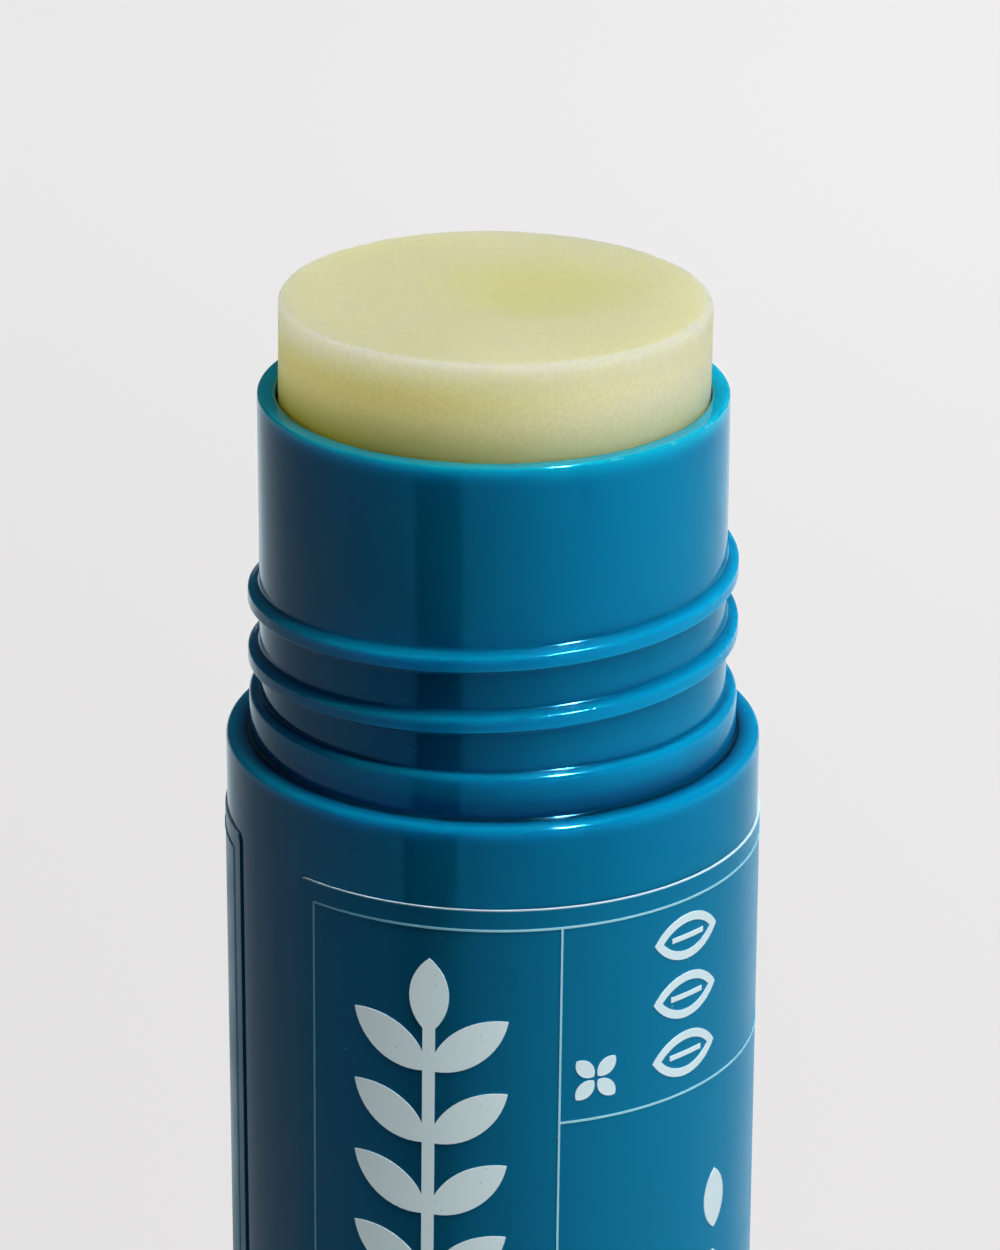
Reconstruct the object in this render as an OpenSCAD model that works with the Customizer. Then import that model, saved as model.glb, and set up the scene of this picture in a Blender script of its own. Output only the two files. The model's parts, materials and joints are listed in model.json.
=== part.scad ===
// Twist-up lip balm in a wide tube, with its cap off and the balm raised a little.
// Millimetres, +Z up. The origin is the middle of the dial's underside, and -Y is the front.
// Angles round the tube are counted from the front, positive to the right.

/* [Outer shell] */
// Outside diameter of the sleeve and the dial
tube_d = 25.6; // [24.8:0.1:30]
// Height of the sleeve's shoulder above the ground
shoulder_z = 58; // [57:0.5:70]
// Wall of the sleeve
sleeve_wall = 1.1; // [0.8:0.05:1.2]
// Thickness of the sleeve's shoulder
shoulder_t = 1.2; // [0.8:0.1:2]
// Rounding of the shoulder's outer edge
shoulder_round = 0.3; // [0.1:0.05:0.5]

/* [Barrel and neck] */
// Width of the ledge between the neck and the sleeve's outside
ledge_w = 1.7; // [1.6:0.05:2.1]
// How much wider the neck's radius is at the collar than above the thread
neck_draft = 0.05; // [0.02:0.01:0.1]
// Wall of the barrel
barrel_wall = 0.85; // [0.7:0.05:1.1]
// Height of the neck above the shoulder
neck_h = 17; // [15:0.5:22]
// Rounding of the rim's edges
rim_round = 0.18; // [0.05:0.01:0.3]
// Height of the collar that sits on the shoulder
collar_h = 2.15; // [1.6:0.05:2.2]
// How far the collar stands out of the neck
collar_out = 0.57; // [0.4:0.01:0.65]
// Rounding of the collar's upper edge
collar_round = 0.38; // [0.1:0.02:0.4]
// Thickness of the web that the spindle turns in
web_t = 1.2; // [0.8:0.1:2]
// Height of the web above the sleeve's lower end
web_rise = 1; // [0.6:0.1:2]
// Width of each guide rib inside the barrel
rib_w = 1.2; // [0.8:0.1:2]
// Height of each guide rib
rib_h = 0.5; // [0.3:0.05:0.7]
// How far below the rim the guide ribs end
rib_drop = 6.2; // [5:0.1:10]

/* [Neck thread] */
// Climb of the thread in one turn
thread_pitch = 3; // [2.5:0.1:3.2]
// How far the thread stands out of the neck
thread_out = 0.55; // [0.3:0.05:0.65]
// Width of the thread where it leaves the neck
thread_w = 1.02; // [0.8:0.02:1.3]
// Height of the upper turn above the shoulder, at the front
thread_front_z = 7.68; // [7.4:0.02:9]
// Angle past the front at which the upper end fades out
thread_after_front = 180; // [120:5:220]
// Angle that the thread winds down before it reaches the front
thread_before_front = 610; // [400:5:620]
// Angle over which each end fades into the neck
thread_fade = 28; // [10:1:60]

/* [Balm] */
// How far the balm stands out of the neck
balm_proud = 4.6; // [3:0.1:5.8]
// How far the balm has been raised from its lowest place
balm_raise = 6; // [2:0.5:12]
// Gap between the balm and the barrel
balm_gap = 0.1; // [0.05:0.05:0.2]
// Slope of the balm's top, lower on the right
balm_slope = 0.7; // [0:0.1:2]
// Depth of the hollow that the balm sank to as it set
sink_depth = 0.45; // [0.2:0.05:1]
// Radius of that hollow
sink_r = 5; // [3:0.1:6]
// Place of the hollow, to the right of the axis and behind it
sink_at = [0.4, 1.6];
// Rounding of the balm's upper edge
balm_round = 0.12; // [0.05:0.01:0.4]

/* [Elevator] */
// Height of the elevator's skirt below its floor
skirt_h = 8; // [7:0.5:10]
// Thickness of the elevator's floor
lift_floor_t = 1.2; // [0.8:0.1:2]
// Height of the cup that grips the balm, above the floor
cup_h = 3.8; // [2:0.1:6]
// Wall of the skirt and the cup
lift_wall = 1; // [0.9:0.05:1.4]
// Gap between the elevator and the barrel
lift_gap = 0.15; // [0.1:0.05:0.25]
// Wall of the nut round the spindle
nut_wall = 1.6; // [1:0.1:2.5]
// Diameter of the two lugs in the spindle's groove
lug_d = 2; // [1.2:0.1:2.2]
// Clearance round the spindle, its lugs and the guide ribs
slip = 0.15; // [0.1:0.01:0.2]
// Number of fins that key the cup into the balm
fins = 6; // [4:2:8]
// Thickness of a fin
fin_t = 0.8; // [0.6:0.05:1.2]
// Reach of a fin from the cup's wall towards the axis
fin_reach = 2.2; // [1:0.1:3]
// Height of a fin above the cup's floor
fin_h = 3; // [1.5:0.1:3.6]
// Height of the elevator above the flange in its lowest place
lift_play = 0.4; // [0.2:0.05:0.8]

/* [Spindle] */
// Climb of the spindle's left-hand flight in one turn
spindle_lead = 4; // [3.7:0.1:5]
// Diameter of the spindle's core
core_d = 4.6; // [4:0.1:5.5]
// How far the flight stands out of the core
flight_out = 0.95; // [0.7:0.05:1.3]
// Width of the flight at the core
flight_w = 1.3; // [0.8:0.05:1.4]
// Height of the spindle's tip below the neck's rim
tip_drop = 7.5; // [7:0.1:9]
// Diameter of the flange over the web
flange_d = 13; // [11:0.5:15]
// Thickness of the flange
flange_t = 1; // [0.8:0.1:1.6]
// Diameter of the journal in the web
journal_d = 8; // [7.6:0.1:9]
// Radial clearance of the journal
journal_play = 0.06; // [0.03:0.01:0.1]
// Gap between the flange and the web
seat_play = 0.1; // [0.05:0.01:0.2]
// Width across the square key that drives the spindle
key_w = 5; // [4:0.1:5.2]
// Gap on each side of the key in its socket
key_play = 0.05; // [0.02:0.01:0.1]
// Gap between the spindle and the wax round it
core_play = 0.35; // [0.2:0.05:0.6]

/* [Dial] */
// Height of the dial
dial_h = 8; // [7:0.1:10]
// Gap between the dial and the sleeve
dial_gap = 0.3; // [0.2:0.05:0.5]
// Gap between the barrel's lower end and the dial's floor
barrel_play = 0.3; // [0.2:0.05:0.5]
// Wall of the hub round the key's corners
hub_wall = 1; // [0.8:0.1:1.5]
// Thickness of the dial's bottom
dial_floor_t = 1.3; // [1:0.1:1.8]
// Depth of the recess under the dial
foot_recess = 0.5; // [0.2:0.05:0.8]
// Width of the ring that the dial stands on
foot_w = 1.5; // [1:0.1:2.5]
// Rounding of the dial's lower edge
dial_round = 0.5; // [0.2:0.05:0.8]
// Number of grip flutes
flutes = 72; // [36:4:90]
// Depth of the flutes
flute_depth = 0.25; // [0.1:0.05:0.3]
// Radius of the cutter that makes a flute
flute_r = 0.38; // [0.3:0.02:0.5]
// Plain band above and below the flutes
flute_margin = 1.2; // [0.8:0.1:2]
// Height of the snap bead above the barrel's lower end
snap_z = 1.6; // [1.2:0.1:2.2]
// How far the snap bead stands out
snap_out = 0.3; // [0.15:0.05:0.4]

/* [Label] */
// Thickness of the film
film_t = 0.1; // [0.06:0.01:0.15]
// Distance of the film's upper edge below the shoulder
film_drop = 4; // [3:0.1:6]
// Height of the film
film_h = 43.2; // [38:0.2:44]
// Angle of the film's left end
film_left = -44.75; // [-50:0.25:-43]
// Angle that the film wraps round the sleeve
film_wrap = 336; // [320:1:350]
// Radius of the film's corners
film_corner = 0.5; // [0.2:0.05:1]
// Lean of the film, lower on the right
film_lean = 0.5; // [0:0.1:1]

/* [Print] */
// Thickness of the ink
ink_t = 0.04; // [0.02:0.01:0.06]
// Width of the thin rules
rule_w = 0.1; // [0.06:0.01:0.2]
// Distance of the ruled frame inside the film's edge
frame_inset = 1.03; // [0.6:0.01:2]
// Angle of the upright rule between the wide panel and the cells
divider_at = 14.6; // [12:0.1:18]
// Angle that the cells cover to the right of that rule
cells_wrap = 90; // [70:1:120]
// Distance of the level rule below the shoulder
cell_drop = 15.1; // [14:0.1:20]
// Middle of the sprig, as an angle
sprig_at = -12.95; // [-15:0.05:-11]
// Width of the sprig
sprig_w = 8; // [6:0.1:9]
// Distance of the sprig's tip below the shoulder
sprig_drop = 6.6; // [6:0.1:8]
// Height of one pair of leaves
sprig_pitch = 3.75; // [3.4:0.05:4.5]
// Width of a big leaf
leaf_w = 1.9; // [1.4:0.05:2.2]
// Width of the stem
stem_w = 0.6; // [0.3:0.05:1]
// Slope of the leaves
leaf_slope = 36; // [25:1:45]
// Middle of the small motifs in the upper cell, as an angle
cell_motif_at = 45.5; // [40:0.5:55]
// Length of an outlined leaf
outline_l = 4.2; // [3:0.1:5]
// Width of an outlined leaf
outline_w = 2.3; // [1.5:0.1:2.6]
// Line of an outlined leaf
outline_line = 0.42; // [0.2:0.02:0.6]
// Distance between the outlined leaves
outline_pitch = 3.05; // [2.7:0.05:3.3]
// Distance of the uppermost outlined leaf below the frame
outline_drop = 1.9; // [1.5:0.1:2.2]
// Angle from the divider to the small flower
flower_after = 7.9; // [7:0.1:9]
// Height of the flower above the level rule
flower_rise = 2.1; // [1.6:0.1:2.6]
// Length of one of the flower's leaves
flower_l = 1.25; // [0.8:0.05:1.4]
// Angle from the outlined leaves to the column of small leaves
column_after = 11; // [9:0.5:14]
// Distance of the column's first leaf below the level rule
column_drop = 6.6; // [5:0.1:8]
// Distance between the column's leaves
column_pitch = 4.4; // [4:0.1:5]
// Length of a leaf in the column
column_leaf_l = 3.2; // [2.5:0.1:3.6]
// Width of a leaf in the column
column_leaf_w = 1.7; // [1:0.1:2]

/* [Hidden] */
$fn = 96;
eps = 0.01;

tube_r = tube_d / 2;
film_r = tube_r + film_t;
neck_r = tube_r - ledge_w;
bore_r = neck_r - barrel_wall;
collar_r = neck_r + collar_out;
rim_z = shoulder_z + neck_h;
plain_z = shoulder_z + thread_front_z + thread_pitch * thread_after_front / 360 + thread_w / 2;

// Levels of the drive, from the ground up
dial_inner_z = foot_recess + dial_floor_t;
barrel_z = dial_inner_z + barrel_play;
sleeve_z = dial_h + dial_gap;
web_z = sleeve_z + web_rise;
flange_z = web_z + web_t + seat_play;
flange_top = flange_z + flange_t;
lift_low_z = flange_top + lift_play;
lift_z = lift_low_z + balm_raise;
lift_floor_z = lift_z + skirt_h;
cup_z = lift_floor_z + lift_floor_t;
cup_rim_z = cup_z + cup_h;
rib_top_z = rim_z - rib_drop;
tip_z = rim_z - tip_drop;
balm_top = rim_z + balm_proud;

// Radii of the drive
core_r = core_d / 2;
flight_r = core_r + flight_out;
nut_r = flight_r + slip;
journal_r = journal_d / 2;
lift_r = bore_r - lift_gap;
cup_r = lift_r - lift_wall;
balm_r = bore_r - balm_gap;
rib_tip_r = bore_r - rib_h;
slot_r = rib_tip_r - slip;
slot_w = rib_w + 2 * slip;
core_hole_r = flight_r + core_play;

// Levels of the label
film_top = shoulder_z - film_drop;
film_z = film_top - film_h;
frame_top = film_top - frame_inset;
frame_z = film_z + frame_inset;
inset_angle = frame_inset / film_r * 180 / PI;
frame_left = film_left + inset_angle;
frame_wrap = film_wrap - 2 * inset_angle;
rule_angle = rule_w / film_r * 180 / PI;

plastic = [0.02, 0.42, 0.62];
film_colour = [0.02, 0.40, 0.55];
ink_white = [0.90, 0.93, 0.93];
ink_grey = [0.76, 0.79, 0.79];
natural = [0.90, 0.91, 0.88];
wax = [0.88, 0.86, 0.66];

// Points of an arc, for an outline
function arc(centre, r, from, to, parts = 5) =
    [for (i = [0:parts]) let (a = from + (to - from) * i / parts) centre + r * [cos(a), sin(a)]];

// Half of a rounded bead with its root sunk in the wall, as [out, up] points
function bead(out, width, root) = concat(
    [[-root, -width / 2]],
    [for (a = [-75:25:75]) [out * cos(a), width / 2 * sin(a)]],
    [[-root, width / 2]]);

// A ridge that winds up round the axis. The profile is a list of [out, up] points, and each end fades
// into the cylinder of radius r. A hand of 1 winds to the right and -1 to the left.
module wound_ridge(r, profile, lead, start, angle, z, step, fade, root, hand = 1) {
    rings = ceil(angle / step);
    n = len(profile);
    points = [
        for (i = [0:rings]) let (
            a = angle * i / rings,
            share = min(1, a / fade, (angle - a) / fade),
            rise = share * share * (3 - 2 * share))
        for (p = profile) let (
            out = p[0] < 0 ? p[0] : -root / 2 + (p[0] + root / 2) * rise,
            turn = start + hand * a)
        [(r + out) * cos(turn), (r + out) * sin(turn), z + lead * a / 360 + p[1] * (0.5 + 0.5 * rise)]
    ];
    sides = [
        for (i = [0:rings - 1]) for (j = [0:n - 1]) let (
            a = i * n + j,
            b = i * n + (j + 1) % n)
        each hand > 0 ? [[a, b, b + n], [a, b + n, a + n]] : [[b, a, a + n], [b, a + n, b + n]]
    ];
    first = [for (j = [0:n - 1]) j];
    last = [for (j = [0:n - 1]) rings * n + n - 1 - j];
    ends = hand > 0 ? [[for (j = [0:n - 1]) n - 1 - j], [for (j = [0:n - 1]) rings * n + j]] : [first, last];
    polyhedron(points, concat(sides, ends), convexity = 10);
}

// A ring with a square section
module ring(inner_r, outer_r, z, h) {
    translate([0, 0, z]) difference() {
        cylinder(r = outer_r, h = h);
        translate([0, 0, -1]) cylinder(r = inner_r, h = h + 2);
    }
}

// The two slots that run on the guide ribs
module rib_slots(z, h) {
    for (side = [0, 180])
        rotate([0, 0, side]) translate([slot_r, -slot_w / 2, z]) cube([tube_r - slot_r, slot_w, h]);
}

// The outer shell: a straight tube with a shoulder that the neck passes through
module sleeve() {
    inner_r = tube_r - sleeve_wall;
    hole_r = neck_r + journal_play;
    low_round = shoulder_round / 2;
    color(plastic) rotate_extrude()
        polygon(concat(
            [[inner_r, sleeve_z], [tube_r - low_round, sleeve_z]],
            arc([tube_r - low_round, sleeve_z + low_round], low_round, -90, 0),
            arc([tube_r - shoulder_round, shoulder_z - shoulder_round], shoulder_round, 0, 90),
            [[hole_r, shoulder_z], [hole_r, shoulder_z - shoulder_t], [inner_r, shoulder_z - shoulder_t]]));
}

// The inner tube: neck, thread, collar, web, guide ribs and the snap bead that holds the dial
module barrel() {
    inner_sleeve_r = tube_r - sleeve_wall;
    ring_r = inner_sleeve_r - journal_play;
    bead_z = barrel_z + snap_z;
    hole_r = journal_r + journal_play;
    color(plastic) {
        rotate_extrude() polygon(concat(
            [[bore_r, barrel_z], [neck_r - snap_out, barrel_z], [neck_r, barrel_z + snap_out]],
            [[neck_r, bead_z - snap_out], [neck_r + snap_out, bead_z], [neck_r, bead_z + snap_out]],
            [[neck_r, sleeve_z], [ring_r, sleeve_z], [ring_r, web_z], [neck_r, web_z + collar_out]],
            [[neck_r, shoulder_z], [collar_r, shoulder_z]],
            arc([collar_r - collar_round, shoulder_z + collar_h - collar_round], collar_round, 0, 90),
            [[neck_r + neck_draft, shoulder_z + collar_h], [neck_r, plain_z]],
            arc([neck_r - rim_round, rim_z - rim_round], rim_round, 0, 90),
            arc([bore_r + rim_round, rim_z - rim_round], rim_round, 90, 180),
            [[bore_r, web_z + web_t], [hole_r, web_z + web_t], [hole_r, web_z], [bore_r, web_z]]));
        wound_ridge(
            r = neck_r, profile = bead(thread_out, thread_w, barrel_wall / 2), lead = thread_pitch,
            start = -90 - thread_before_front, angle = thread_before_front + thread_after_front,
            z = shoulder_z + thread_front_z - thread_pitch * thread_before_front / 360,
            step = 6, fade = thread_fade, root = barrel_wall / 2);
        for (side = [0, 180])
            rotate([0, 0, side]) translate([rib_tip_r, -rib_w / 2, web_z])
                cube([rib_h + barrel_wall / 2, rib_w, rib_top_z - web_z]);
    }
}

// The base that is turned by hand: a fluted cup with a square socket in its hub
module dial() {
    inner_r = neck_r + journal_play;
    bead_z = barrel_z + snap_z;
    groove = snap_out + journal_play;
    socket_w = key_w + 2 * key_play;
    hub_r = socket_w / sqrt(2) + hub_wall;
    flute_at = tube_r - flute_depth + flute_r;
    color(plastic) difference() {
        union() {
            difference() {
                rotate_extrude() polygon(concat(
                    [[0, foot_recess], [tube_r - dial_round - foot_w, foot_recess], [tube_r - dial_round - foot_w, 0]],
                    arc([tube_r - dial_round, dial_round], dial_round, -90, 0),
                    [[tube_r, dial_h], [inner_r, dial_h]],
                    [[inner_r, bead_z + groove], [inner_r + groove, bead_z], [inner_r, bead_z - groove]],
                    [[inner_r, dial_inner_z], [0, dial_inner_z]]));
                for (i = [0:flutes - 1])
                    rotate([0, 0, 360 * i / flutes]) translate([flute_at, 0, flute_margin])
                        cylinder(r = flute_r, h = dial_h - 2 * flute_margin);
            }
            translate([0, 0, dial_inner_z - eps]) cylinder(r = hub_r, h = dial_h - dial_inner_z + eps);
        }
        translate([-socket_w / 2, -socket_w / 2, dial_inner_z]) cube([socket_w, socket_w, dial_h]);
    }
}

// The screw inside: key, journal, flange, core and one left-hand flight
module spindle() {
    flight_z = flange_top + flight_w / 2;
    flight_turns = (tip_z - flight_w - flight_z) / spindle_lead;
    root = core_r / 3;
    profile = [[-root, -flight_w / 2], [flight_out, -flight_w * 0.4], [flight_out, flight_w * 0.4], [-root, flight_w / 2]];
    color(natural) {
        translate([-key_w / 2, -key_w / 2, dial_inner_z]) cube([key_w, key_w, dial_h - dial_inner_z]);
        translate([0, 0, dial_h]) cylinder(r = journal_r, h = flange_z - dial_h);
        translate([0, 0, flange_z]) cylinder(d = flange_d, h = flange_t);
        translate([0, 0, flange_top]) cylinder(r = core_r, h = tip_z - flange_top - core_r / 2);
        translate([0, 0, tip_z - core_r / 2]) cylinder(r1 = core_r, r2 = core_r / 2, h = core_r / 2);
        wound_ridge(
            r = core_r, profile = profile, lead = spindle_lead, start = 0, angle = 360 * flight_turns,
            z = flight_z, step = 20, fade = 30, root = root, hand = -1);
    }
}

// Height of the spindle's groove at an angle, in the turn that starts at a given height
function groove_z(angle, from) =
    let (z = flange_top + flight_w / 2 - spindle_lead * angle / 360 + spindle_lead / 2 - from)
    from + z - spindle_lead * floor(z / spindle_lead);

// The upright fins inside the cup, from a given height and radius. The wax is poured round them.
module cup_fins(from_z, outer_r) {
    for (i = [0:fins - 1])
        rotate([0, 0, 360 * (i + 0.5) / fins]) translate([cup_r - fin_reach, -fin_t / 2, from_z])
            cube([outer_r - cup_r + fin_reach, fin_t, cup_z + fin_h - from_z]);
}

// The carrier under the balm: cup, skirt, and a nut whose two lugs ride in the spindle's groove
module elevator() {
    wall_r = nut_r + nut_wall;
    lug_floor = lift_z + lug_d / 2 + slip;
    color(natural) difference() {
        union() {
            ring(cup_r, lift_r, lift_z, cup_rim_z - lift_z);
            ring(nut_r, lift_r - lift_wall / 2, lift_floor_z, lift_floor_t);
            ring(nut_r, wall_r, lift_z, cup_z - lift_z);
            cup_fins(cup_z - lift_floor_t / 2, lift_r - lift_wall / 2);
            for (side = [90, 270])
                translate([0, 0, groove_z(side, lug_floor)]) rotate([0, 0, side]) rotate([0, 90, 0])
                    translate([0, 0, core_r + slip]) cylinder(d = lug_d, h = wall_r - core_r - slip - nut_wall / 2);
        }
        rib_slots(lift_z - 1, cup_rim_z - lift_z + 2);
    }
}

// The wax stick, poured round the guide ribs and the spindle
module balm() {
    hollow_r = (sink_r * sink_r + sink_depth * sink_depth) / (2 * sink_depth);
    hole_top = tip_z + balm_raise + core_play;
    color(wax) difference() {
        rotate_extrude() polygon([
            [0, cup_z], [cup_r, cup_z], [cup_r, cup_rim_z], [balm_r, cup_rim_z],
            [balm_r, balm_top + 1], [0, balm_top + 1]]);
        translate([0, 0, cup_z - 1]) cylinder(r = core_hole_r, h = hole_top - cup_z + 1);
        cup_fins(cup_z - 1, cup_r + 1);
        rib_slots(cup_rim_z, rib_top_z + balm_raise + seat_play - cup_rim_z);
        // The sloping top and its rounded edge
        translate([0, 0, balm_top]) rotate([0, balm_slope, 0]) rotate_extrude() polygon(concat(
            [[balm_r + 3, 4], [0, 4], [0, 0]],
            arc([balm_r - balm_round * 0.7, -balm_round], balm_round, 90, 10),
            [[balm_r + 3, -balm_round]]));
        translate([sink_at[0], sink_at[1], balm_top + hollow_r - sink_depth]) sphere(r = hollow_r);
    }
}

// Leans what is on the label, about the middle of the film's upper edge
module leaned() {
    translate([0, 0, film_top]) rotate([0, film_lean, 0]) translate([0, 0, -film_top]) children();
}

// A block that covers an angle of the tube, from its left end, between two heights
module sector(left, wrap, z1, z2) {
    rotate([0, 0, left - 90]) rotate_extrude(angle = wrap)
        translate([tube_r - 1.5, z1]) square([3, z2 - z1]);
}

// What is cut away to round a corner of the film. The film lies to the right of the corner and above
// it, or to the left or below where those are -1.
module corner_waste(angle, z, right, up) {
    r = film_corner;
    rotate([0, 0, angle]) translate([0, -tube_r, z])
        mirror([right < 0 ? 1 : 0, 0, 0]) mirror([0, 0, up < 0 ? 1 : 0])
            rotate([90, 0, 0]) linear_extrude(3, center = true)
                polygon(concat([[-r, -r], [r, -r]], arc([r, r], 1.03 * r, 262, 188, 6), [[-r, r]]));
}

// The glued film
module label() {
    right = film_left + film_wrap;
    color(film_colour) difference() {
        intersection() {
            ring(tube_r, film_r, film_z - 2, film_h + 4);
            leaned() sector(film_left, film_wrap, film_z, film_top);
        }
        leaned() {
            corner_waste(film_left, film_top, 1, -1);
            corner_waste(film_left, film_z, 1, 1);
            corner_waste(right, film_top, -1, -1);
            corner_waste(right, film_z, -1, 1);
        }
    }
}

// Ink on the film, in the shape of what it is given
module inked() {
    intersection() {
        ring(film_r, film_r + ink_t, film_z, film_h);
        leaned() children();
    }
}

// A flat drawing pushed through the film at an angle and a height
module stamped(angle, z) {
    rotate([0, 0, angle]) translate([0, 0, z]) rotate([90, 0, 0]) linear_extrude(tube_r + 1.5) children();
}

// A pointed leaf that starts at the origin and lies along X
module leaf(l, w) {
    r = (l * l + w * w) / (4 * w);
    intersection() {
        translate([l / 2, w / 2 - r]) circle(r = r);
        translate([l / 2, r - w / 2]) circle(r = r);
    }
}

// A leaf drawn in outline, with its middle at the origin and a vein
module outlined_leaf() {
    inner_l = outline_l - 2.4 * outline_line;
    translate([-outline_l / 2, 0]) difference() {
        leaf(outline_l, outline_w);
        translate([1.2 * outline_line, 0]) leaf(inner_l, outline_w - 2 * outline_line);
    }
    square([outline_l * 0.5, outline_line * 0.6], center = true);
}

// A small flower of four leaves
module flower(l) {
    for (a = [45:90:315])
        rotate([0, 0, a]) translate([l * 0.12, 0]) leaf(l, l * 0.62);
}

// A level rule of the frame, from its left end
module level_rule(left, wrap, z) {
    sector(left, wrap, z - rule_w / 2, z + rule_w / 2);
}

// An upright rule of the frame
module upright_rule(angle) {
    sector(angle - rule_angle / 2, rule_angle, frame_z, frame_top);
}

// The thin white rules and the small white motifs in the cells
module label_rules() {
    cell_z = shoulder_z - cell_drop;
    motif_top = frame_top - outline_drop;
    column_top = cell_z - column_drop;
    color(ink_white) inked() {
        level_rule(frame_left, frame_wrap, frame_top);
        level_rule(frame_left, frame_wrap, frame_z);
        level_rule(divider_at, cells_wrap, cell_z);
        for (angle = [frame_left, divider_at, divider_at + cells_wrap, frame_left + frame_wrap])
            upright_rule(angle);
        for (i = [0:2])
            stamped(cell_motif_at, motif_top - i * outline_pitch) outlined_leaf();
        stamped(divider_at + flower_after, cell_z + flower_rise) flower(flower_l);
        for (i = [0:4])
            stamped(cell_motif_at + column_after, column_top - i * column_pitch)
                rotate([0, 0, 90]) translate([-column_leaf_l / 2, 0]) leaf(column_leaf_l, column_leaf_w);
    }
}

// The pale sprig in the wide panel: a stem with pairs of leaves and one at the tip
module label_motif() {
    reach = sprig_w / 2;
    leaf_l = reach / cos(leaf_slope) - leaf_w * 0.2;
    top = shoulder_z - sprig_drop;
    stem_l = top - frame_z - 2 * frame_inset;
    tip_l = leaf_l * 0.85;
    first_pair = tip_l + leaf_w;
    pairs = floor((stem_l - first_pair) / sprig_pitch) + 1;
    color(ink_grey) inked() stamped(sprig_at, top) {
        translate([0, -tip_l]) rotate([0, 0, 90]) leaf(tip_l, leaf_w);
        translate([-stem_w / 2, -stem_l]) square([stem_w, stem_l - tip_l + stem_w]);
        for (i = [0:pairs - 1], side = [-1, 1])
            translate([0, -first_pair - i * sprig_pitch]) mirror([side < 0 ? 1 : 0, 0])
                rotate([0, 0, leaf_slope]) leaf(leaf_l, leaf_w);
    }
}

dial();
spindle();
barrel();
sleeve();
elevator();
balm();
label();
label_rules();
label_motif();
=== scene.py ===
"""The looks of a twist-up lip balm: glossy blue tube with a threaded neck, printed film and pale wax."""

import json
import math

import bmesh
import bpy
from mathutils import Matrix, Vector, noise


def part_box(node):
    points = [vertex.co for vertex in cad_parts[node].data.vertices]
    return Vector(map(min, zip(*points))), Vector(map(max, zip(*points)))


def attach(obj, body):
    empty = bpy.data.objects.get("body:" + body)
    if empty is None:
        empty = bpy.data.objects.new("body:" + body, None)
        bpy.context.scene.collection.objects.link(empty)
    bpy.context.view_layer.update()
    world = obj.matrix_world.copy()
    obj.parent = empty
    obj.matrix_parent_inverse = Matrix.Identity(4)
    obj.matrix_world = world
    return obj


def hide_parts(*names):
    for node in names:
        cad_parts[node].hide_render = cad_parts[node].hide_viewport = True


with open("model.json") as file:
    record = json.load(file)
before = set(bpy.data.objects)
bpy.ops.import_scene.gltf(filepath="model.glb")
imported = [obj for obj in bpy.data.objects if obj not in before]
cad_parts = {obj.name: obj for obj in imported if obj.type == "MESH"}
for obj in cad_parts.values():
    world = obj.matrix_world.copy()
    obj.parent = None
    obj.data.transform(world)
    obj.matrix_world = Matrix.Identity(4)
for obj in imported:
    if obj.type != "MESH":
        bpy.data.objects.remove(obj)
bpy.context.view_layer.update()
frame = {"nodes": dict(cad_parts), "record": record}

MM = 0.001


def mount(name):
    """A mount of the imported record."""
    return next(row for row in frame["record"]["mounts"] if row["name"] == name)


# Places read from the frame, in metres
SLEEVE_LOW, SLEEVE_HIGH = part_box("sleeve")
BARREL_LOW, BARREL_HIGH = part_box("barrel")
BALM_LOW, BALM_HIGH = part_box("balm")
DIAL_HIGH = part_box("dial")[1]
TUBE_R = SLEEVE_HIGH.x
SHOULDER_Z = SLEEVE_HIGH.z
RIM_Z = BARREL_HIGH.z
COLLAR_R = BARREL_HIGH.x
NECK_R = mount("neck")["dims"]["r_mm"] * MM
BALM_R = BALM_HIGH.x

# Sizes of the barrel and its neck
BARREL_WALL = 0.85 * MM
BORE_R = NECK_R - BARREL_WALL
COLLAR_H = 2.15 * MM
COLLAR_ROUND = 0.3 * MM
FOOT_FILLET = 0.14 * MM
NECK_DRAFT = 0.05 * MM
NECK_ROOT = 0.1 * MM
RIM_ROUND = 0.13 * MM
WEB_Z = 9.3 * MM
WEB_T = 1.2 * MM
JOURNAL_HOLE_R = 4.06 * MM
RIB_W = 1.2 * MM
RIB_H = 0.5 * MM
RIB_DROP = 6.2 * MM
SNAP_Z = 1.6 * MM
SNAP_OUT = 0.3 * MM
RUNNING_GAP = 0.06 * MM

# Sizes of the neck thread, whose section is a rounded trapezium
THREAD_PITCH = 3 * MM
THREAD_OUT = 0.55 * MM
THREAD_ROOT_W = 1.12 * MM
THREAD_CREST_W = 0.62 * MM
THREAD_ROOT_ROUND = 0.2 * MM
THREAD_CREST_ROUND = 0.12 * MM
THREAD_FRONT = 7.68 * MM
THREAD_AFTER = math.radians(180)
THREAD_BEFORE = math.radians(610)
THREAD_FADE = math.radians(28)
TURN_STEPS = 320

# Sizes of the sleeve and the dial
SLEEVE_WALL = 1.1 * MM
SHOULDER_T = 1.2 * MM
SHOULDER_ROUND = 0.28 * MM
DIAL_INNER_Z = 1.8 * MM
DIAL_ROUND = 0.5 * MM
DIAL_EDGE = 0.12 * MM
FOOT_RECESS = 0.5 * MM
FOOT_W = 1.5 * MM
SOCKET_W = 5.1 * MM
HUB_WALL = 1 * MM
FLUTES = 72
FLUTE_COLUMNS = 12
FLUTE_R = 0.38 * MM
FLUTE_DEPTH = 0.25 * MM
FLUTE_MARGIN = 1.2 * MM

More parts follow.
